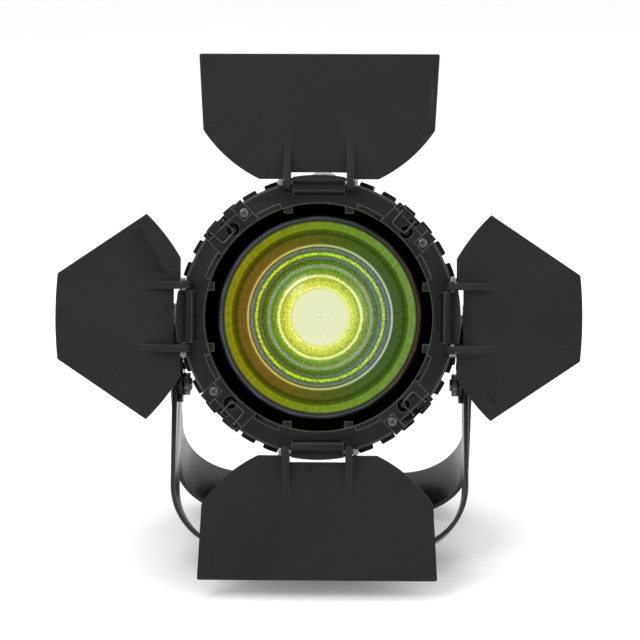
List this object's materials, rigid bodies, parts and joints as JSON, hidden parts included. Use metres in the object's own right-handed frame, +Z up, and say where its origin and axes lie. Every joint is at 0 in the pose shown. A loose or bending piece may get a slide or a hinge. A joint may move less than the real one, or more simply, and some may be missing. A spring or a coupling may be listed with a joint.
{
  "type": "fresnel spotlight",
  "caption": "Black fresnel spotlight with open four-leaf barn doors, toothed zoom ring, stepped lens and double U bracket with clamping knobs.",
  "frame": {"origin": "on the floor, under the middle of the whole lamp's box", "axes": "+Z up, -Y the way the lamp faces, +X to the right as seen from the front"},
  "size_m": [0.3274, 0.2528, 0.3306],
  "materials": {
    "strap_black": "semi-gloss black powder coat on steel",
    "bolt_steel": "zinc-plated steel",
    "dark_fastener": "black-oxide steel",
    "bright_screw": "plated steel",
    "spring_wire": "drawn spring steel",
    "frame_black": "satin black moulding",
    "leaf_black": "fine-grained charcoal moulding",
    "grip_rubber": "matt black",
    "knob_plastic": "black glass-filled nylon",
    "tunnel_black": "flat black, light absorbing",
    "housing_black": "fine-textured black powder coat on cast aluminium",
    "lens_glass": "pressed fresnel glass",
    "rim_metal": "satin grey anodised",
    "emitter": "warm-white chip-on-board emitter",
    "circuit_board": "green solder mask",
    "sink_aluminium": "plain extruded",
    "window_plastic": "smoked clear window",
    "button_plastic": "soft-touch black",
    "socket_plastic": "black moulded connector"
  },
  "bodies": {
    "front_bracket": {"front_bracket": "strap_black", "bracket_plates": "strap_black", "plate_bolts": "bolt_steel", "plate_nuts": "bolt_steel", "plate_rivets": "dark_fastener", "strap_washers": "bolt_steel"},
    "rear_bracket": {"rear_bracket": "strap_black", "knob_washers": "bolt_steel"},
    "head": {"pivot_washers": "bolt_steel", "pivot_blocks": "housing_black", "front_frame": "frame_black", "boss_screws": "dark_fastener", "clip_screws": "bright_screw", "hinge_blocks": "frame_black", "hinge_bolts": "dark_fastener", "hinge_nuts": "dark_fastener", "front_barrel": "tunnel_black", "front_housing": "housing_black", "rear_housing": "housing_black", "rear_panel": "housing_black", "panel_screws": "dark_fastener", "display_window": "window_plastic", "fuse_holder": "socket_plastic", "safety_eye": "bolt_steel", "light_baffle": "tunnel_black", "reflector": "rim_metal", "led_emitter": "emitter", "led_board": "circuit_board", "heat_sink": "sink_aluminium", "fan_frame": "knob_plastic", "driver_board": "circuit_board", "dmx_in": "socket_plastic", "dmx_out": "socket_plastic", "power_in": "socket_plastic", "power_out": "socket_plastic"},
    "knob_right": {"tilt_knob_right": "knob_plastic", "tilt_stud_right": "bolt_steel"},
    "knob_left": {"tilt_knob_left": "knob_plastic", "tilt_stud_left": "bolt_steel"},
    "zoom_ring": {"zoom_ring": "grip_rubber", "zoom_sleeve": "knob_plastic"},
    "lens_carriage": {"lens_carriage": "tunnel_black", "guide_pins": "bolt_steel", "lens": "lens_glass", "lens_rim": "rim_metal"},
    "leaf_top": {"leaf_top": "leaf_black"},
    "leaf_right": {"leaf_right": "leaf_black"},
    "leaf_bottom": {"leaf_bottom": "leaf_black"},
    "leaf_left": {"leaf_left": "leaf_black"},
    "clip_wire_1": {"clip_wire_1": "spring_wire"},
    "clip_wire_2": {"clip_wire_2": "spring_wire"},
    "clip_wire_3": {"clip_wire_3": "spring_wire"},
    "clip_wire_4": {"clip_wire_4": "spring_wire"},
    "button_mode": {"button_mode": "button_plastic"},
    "button_up": {"button_up": "button_plastic"},
    "button_down": {"button_down": "button_plastic"},
    "button_enter": {"button_enter": "button_plastic"},
    "fan_rotor": {"fan_rotor": "knob_plastic"}
  },
  "joints": [
    {"name": "head_tilt", "type": "hinge", "parent": "front_bracket", "child": "head", "pos_m": [0, -0.0036, 0.1399], "axis": [1, 0, 0], "range_deg": [-105, 20]},
    {"name": "bracket_spread", "type": "hinge", "parent": "front_bracket", "child": "rear_bracket", "pos_m": [0, -0.0036, 0.1399], "axis": [1, 0, 0], "range_deg": [-47, 60]},
    {"name": "right_knob_turn", "type": "hinge", "parent": "head", "child": "knob_right", "pos_m": [0.11, -0.0036, 0.1399], "axis": [1, 0, 0], "continuous": true},
    {"name": "left_knob_turn", "type": "hinge", "parent": "head", "child": "knob_left", "pos_m": [-0.11, -0.0036, 0.1399], "axis": [-1, 0, 0], "continuous": true},
    {"name": "zoom_turn", "type": "hinge", "parent": "head", "child": "zoom_ring", "pos_m": [0, -0.06715, 0.16647], "axis": [0, 0.9724, -0.2334], "range_deg": [-50, 50]},
    {"name": "lens_slide", "type": "slide", "parent": "head", "child": "lens_carriage", "axis": [0, -0.9724, 0.2334], "range_m": [-0.014, 0.014]},
    {"name": "top_leaf_fold", "type": "hinge", "parent": "head", "child": "leaf_top", "pos_m": [0, -0.07547, 0.25393], "axis": [1, 0, 0], "range_deg": [0, 180]},
    {"name": "right_leaf_fold", "type": "hinge", "parent": "head", "child": "leaf_right", "pos_m": [0.0831, -0.09487, 0.17312], "axis": [0, -0.2334, -0.9724], "range_deg": [0, 146]},
    {"name": "bottom_leaf_fold", "type": "hinge", "parent": "head", "child": "leaf_bottom", "pos_m": [0, -0.11427, 0.09232], "axis": [-1, 0, 0], "range_deg": [0, 180]},
    {"name": "left_leaf_fold", "type": "hinge", "parent": "head", "child": "leaf_left", "pos_m": [-0.0831, -0.09487, 0.17312], "axis": [0, 0.2334, 0.9724], "range_deg": [0, 146]},
    {"name": "clip_wire_1_swing", "type": "hinge", "parent": "head", "child": "clip_wire_1", "pos_m": [0.0559, -0.07637, 0.23344], "axis": [-0.7478, 0.155, 0.6456], "range_deg": [0, 55]},
    {"name": "clip_wire_2_swing", "type": "hinge", "parent": "head", "child": "clip_wire_2", "pos_m": [0.06296, -0.10412, 0.11786], "axis": [0.6639, 0.1746, 0.7271], "range_deg": [0, 55]},
    {"name": "clip_wire_3_swing", "type": "hinge", "parent": "head", "child": "clip_wire_3", "pos_m": [-0.0559, -0.10577, 0.11099], "axis": [0.7478, -0.155, -0.6456], "range_deg": [0, 55]},
    {"name": "clip_wire_4_swing", "type": "hinge", "parent": "head", "child": "clip_wire_4", "pos_m": [-0.06296, -0.07802, 0.22657], "axis": [-0.6639, -0.1746, -0.7271], "range_deg": [0, 55]},
    {"name": "mode_button_press", "type": "slide", "parent": "head", "child": "button_mode", "axis": [0, -0.9724, 0.2334], "range_m": [0, 0.0012], "stiffness_N_per_m": 400, "springref_m": -0.0008},
    {"name": "up_button_press", "type": "slide", "parent": "head", "child": "button_up", "axis": [0, -0.9724, 0.2334], "range_m": [0, 0.0012], "stiffness_N_per_m": 400, "springref_m": -0.0008},
    {"name": "down_button_press", "type": "slide", "parent": "head", "child": "button_down", "axis": [0, -0.9724, 0.2334], "range_m": [0, 0.0012], "stiffness_N_per_m": 400, "springref_m": -0.0008},
    {"name": "enter_button_press", "type": "slide", "parent": "head", "child": "button_enter", "axis": [0, -0.9724, 0.2334], "range_m": [0, 0.0012], "stiffness_N_per_m": 400, "springref_m": -0.0008},
    {"name": "fan_spin", "type": "hinge", "parent": "head", "child": "fan_rotor", "pos_m": [0, 0.07676, 0.13192], "axis": [0, 0.9724, -0.2334], "continuous": true}
  ],
  "couplings": [
    {"joint": "lens_slide", "follows": "zoom_turn", "m_per_rad": 0.016043}
  ]
}
